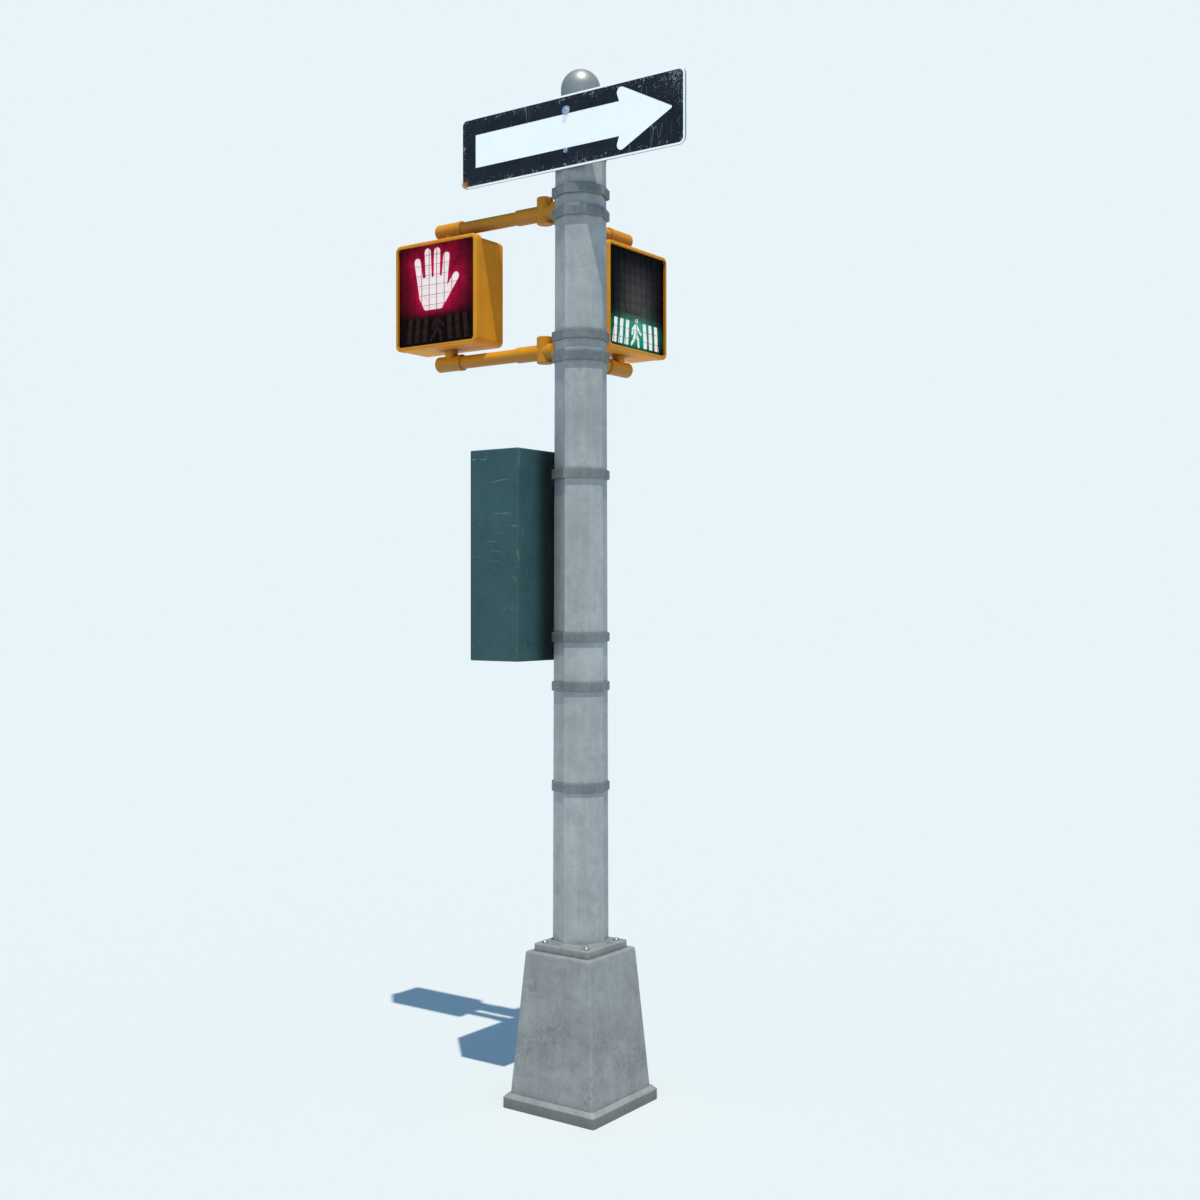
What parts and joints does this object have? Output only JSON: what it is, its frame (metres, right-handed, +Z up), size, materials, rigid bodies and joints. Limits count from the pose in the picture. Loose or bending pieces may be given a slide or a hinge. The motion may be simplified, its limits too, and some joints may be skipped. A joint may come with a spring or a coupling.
{
  "type": "pedestrian signal post with push button",
  "caption": "Octagonal street post on a cast base, with turned walk signal heads on pipe arms, an arrow sign, a control cabinet and a spring-return pedestrian push button.",
  "frame": {"origin": "on the pole's axis at the underside of the base, ground level", "axes": "+Z up along the pole; -Y the way the sign and the left head face; +X the way the right head faces; the arm hubs and the cabinet are on the -X side"},
  "size_m": [1.3085, 0.8935, 3.65],
  "materials": {
    "cast_base": "matt grey paint, stained",
    "pole_metal": "weathered galvanised grey",
    "band_metal": "dark grey",
    "finial_metal": "satin silver",
    "fastener_steel": "zinc plated",
    "yellow_paint": "semi-gloss",
    "sign_aluminium": "mill finish",
    "sign_white": "retroreflective white",
    "sign_dark": "satin dark film",
    "cabinet_green": "satin, scratched",
    "bracket_steel": "galvanised",
    "rubber_seal": "matt",
    "dark_lens": "smoked",
    "grille_black": "matt black",
    "symbol_white": "lit",
    "reflector_chrome": "polished",
    "lamp_glass": "frosted",
    "panel_steel": "white",
    "module_grey": "satin",
    "switch_plastic": "black",
    "button_steel": "satin",
    "housing_dark": "satin black",
    "plate_green": "satin"
  },
  "bodies": {
    "post": {"base_casting": "cast_base", "handhole_cover": "cast_base", "cap_screws": "fastener_steel", "pole_flange": "band_metal", "flange_bolts": "fastener_steel", "pole_shaft": "pole_metal", "finial_cap": "finial_metal", "hub_bands": "band_metal", "cabinet_bands": "band_metal", "button_bands": "band_metal", "band_bolts": "fastener_steel", "lower_hub": "yellow_paint", "upper_hub": "yellow_paint", "arm_sleeves": "yellow_paint", "arm_pipes": "yellow_paint", "lock_collars": "yellow_paint", "arm_elbows": "yellow_paint", "sign_brackets": "bracket_steel", "sign_blank": "sign_aluminium", "sign_white_face": "sign_white", "sign_dark_film": "sign_dark", "sign_bolts": "fastener_steel", "cabinet_brackets": "bracket_steel", "cabinet_shell": "cabinet_green", "cabinet_bolts": "fastener_steel", "cabinet_backplate": "panel_steel", "signal_controller": "module_grey", "cabinet_hinge_pins": "fastener_steel", "button_saddles": "bracket_steel", "button_plate": "plate_green", "button_housing": "housing_dark", "button_screws": "fastener_steel", "button_switch": "switch_plastic", "button_spring": "fastener_steel"},
    "left_head": {"left_housing": "yellow_paint", "left_nipples": "yellow_paint", "left_reflector": "reflector_chrome", "left_lamps": "lamp_glass", "left_hinge_pins": "fastener_steel"},
    "left_lens_door": {"left_door": "yellow_paint", "left_latch_screw": "fastener_steel", "left_lens": "dark_lens", "left_lens_gasket": "rubber_seal", "left_grille": "grille_black", "left_symbols": "symbol_white"},
    "right_head": {"right_housing": "yellow_paint", "right_nipples": "yellow_paint", "right_reflector": "reflector_chrome", "right_lamps": "lamp_glass", "right_hinge_pins": "fastener_steel"},
    "right_lens_door": {"right_door": "yellow_paint", "right_latch_screw": "fastener_steel", "right_lens": "dark_lens", "right_lens_gasket": "rubber_seal", "right_grille": "grille_black", "right_symbols": "symbol_white"},
    "door_panel": {"cabinet_door": "cabinet_green", "cabinet_door_gasket": "rubber_seal"},
    "latch_handle": {"cabinet_latch": "fastener_steel"},
    "push_button": {"button_plunger": "button_steel"}
  },
  "joints": [
    {"name": "left_head_aim", "type": "hinge", "parent": "post", "child": "left_head", "pos_m": [-0.6045, 0, 2.918], "axis": [0, 0, 1], "range_deg": [-30, 30]},
    {"name": "right_head_aim", "type": "hinge", "parent": "post", "child": "right_head", "pos_m": [-0.1595, 0.462, 2.918], "axis": [0, 0, 1], "range_deg": [-30, 30]},
    {"name": "left_door_hinge", "type": "hinge", "parent": "left_head", "child": "left_lens_door", "pos_m": [-0.8065, -0.057, 2.918], "axis": [0, 0, -1], "range_deg": [0, 100]},
    {"name": "right_door_hinge", "type": "hinge", "parent": "right_head", "child": "right_lens_door", "pos_m": [-0.1025, 0.664, 2.918], "axis": [0, 0, 1], "range_deg": [0, 100]},
    {"name": "cabinet_door_hinge", "type": "hinge", "parent": "post", "child": "door_panel", "pos_m": [-0.3232, 0.213, 1.934], "axis": [0, 0, -1], "range_deg": [0, 110]},
    {"name": "cabinet_latch_turn", "type": "hinge", "parent": "door_panel", "child": "latch_handle", "pos_m": [-0.318, -0.185, 1.934], "axis": [1, 0, 0], "range_deg": [0, 90]},
    {"name": "button_press", "type": "slide", "parent": "post", "child": "push_button", "axis": [0.3827, -0.9239, 0], "range_m": [0, 0.004], "stiffness_N_per_m": 1500, "springref_m": -0.003, "deforming": ["button_spring"]}
  ]
}
